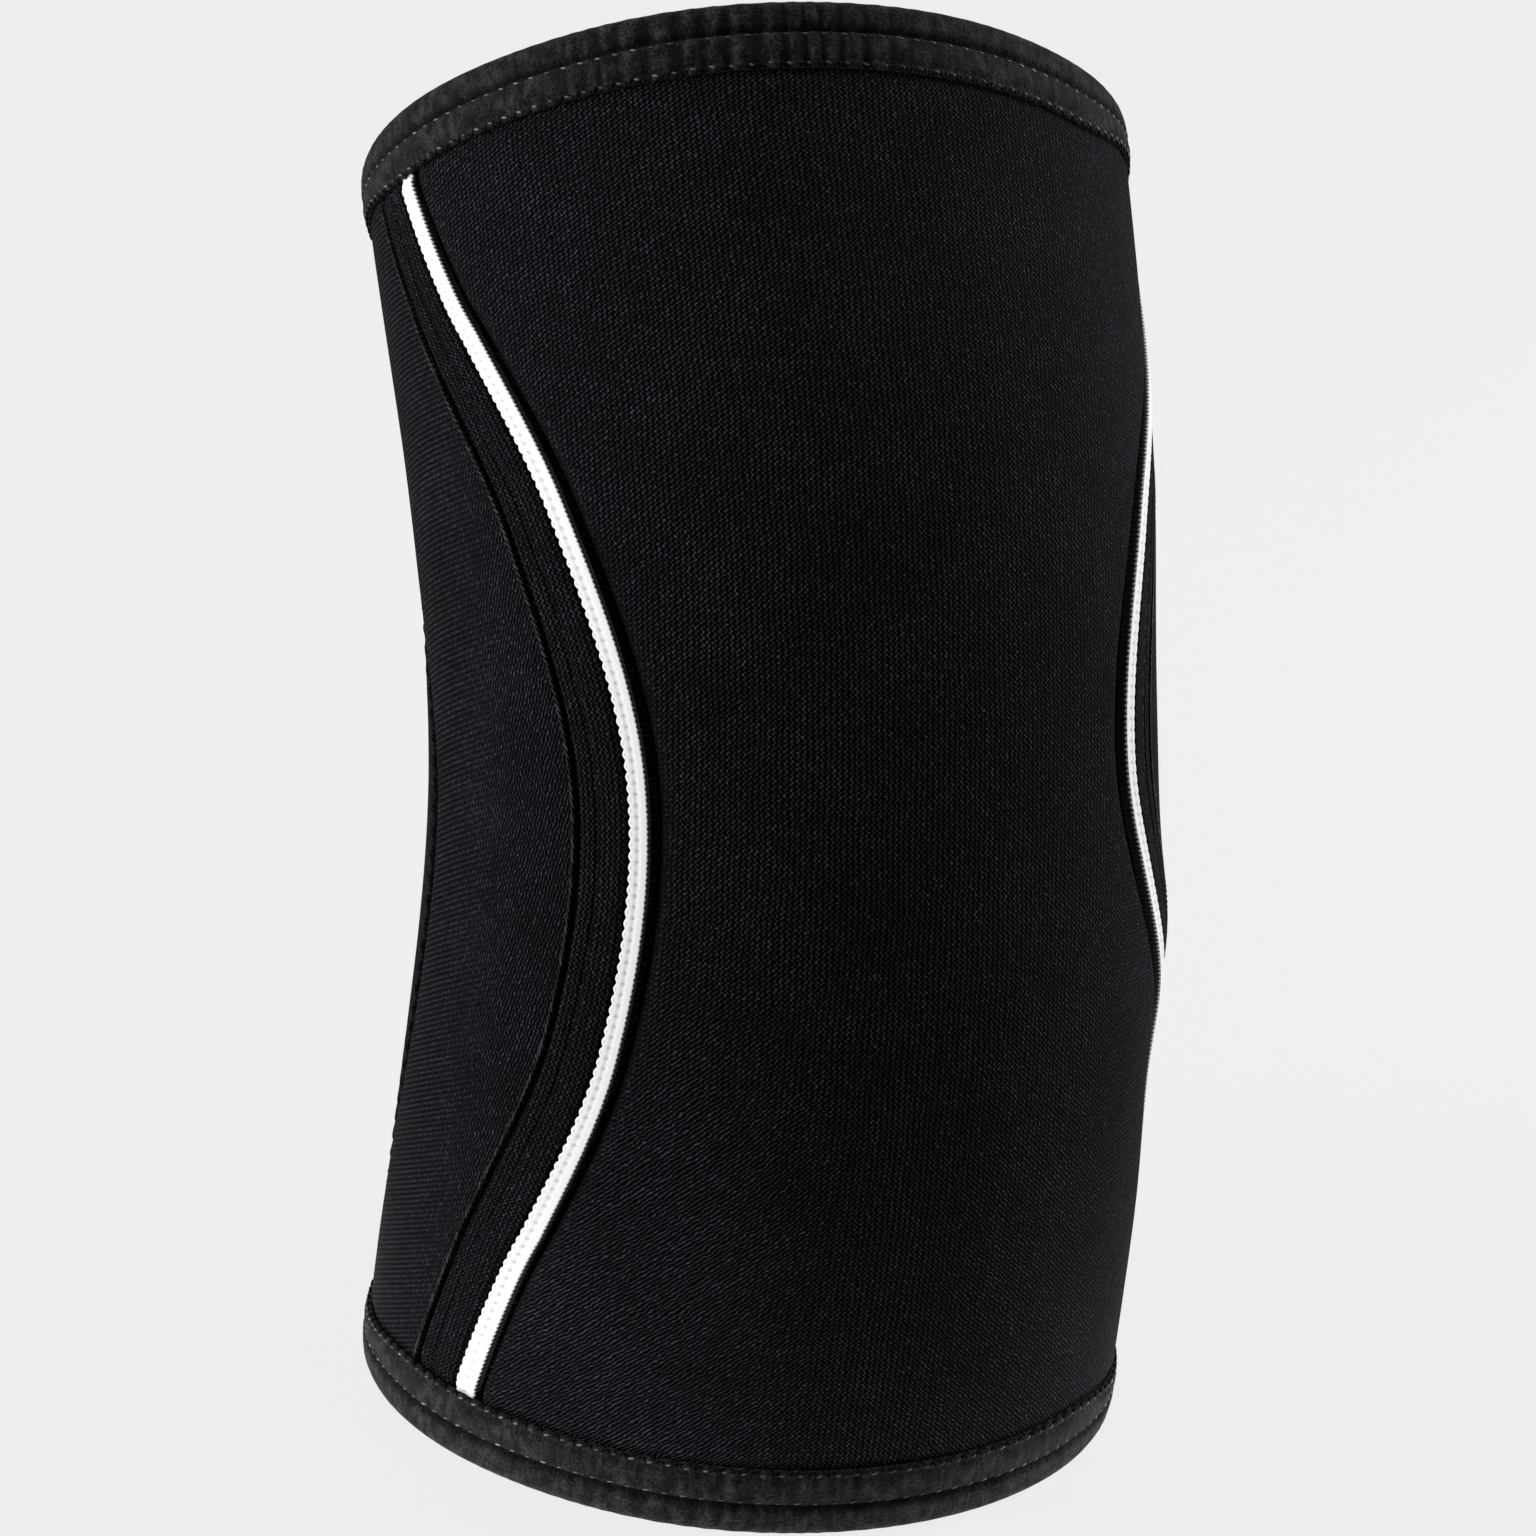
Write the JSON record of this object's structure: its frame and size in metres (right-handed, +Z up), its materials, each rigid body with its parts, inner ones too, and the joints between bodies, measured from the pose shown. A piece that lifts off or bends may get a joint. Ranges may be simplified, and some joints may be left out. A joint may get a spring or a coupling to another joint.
{
  "type": "elbow sleeve",
  "caption": "Pre-bent tubular elbow sleeve of jersey-faced neoprene panels, with white piping beside an hourglass front panel and bound rims.",
  "frame": {"origin": "on the surface that the lower rim stands on, under the middle of the whole sleeve's box", "axes": "+Z up from the lower rim, -Y the front over the point of the elbow, +X the front's right as seen from the front"},
  "size_m": [0.1144, 0.1504, 0.1985],
  "materials": {
    "jersey_black": "matte knitted jersey over neoprene",
    "tape_black": "brushed stretch tape",
    "piping_white": "ribbed white piping"
  },
  "bodies": {
    "root": {"front_panel": "jersey_black", "side_panel_left": "jersey_black", "side_panel_right": "jersey_black", "back_panel": "jersey_black", "seam_band_left": "jersey_black", "seam_band_right": "jersey_black", "piping_left": "piping_white", "piping_right": "piping_white", "top_binding": "tape_black", "bottom_binding": "tape_black"}
  },
  "joints": []
}
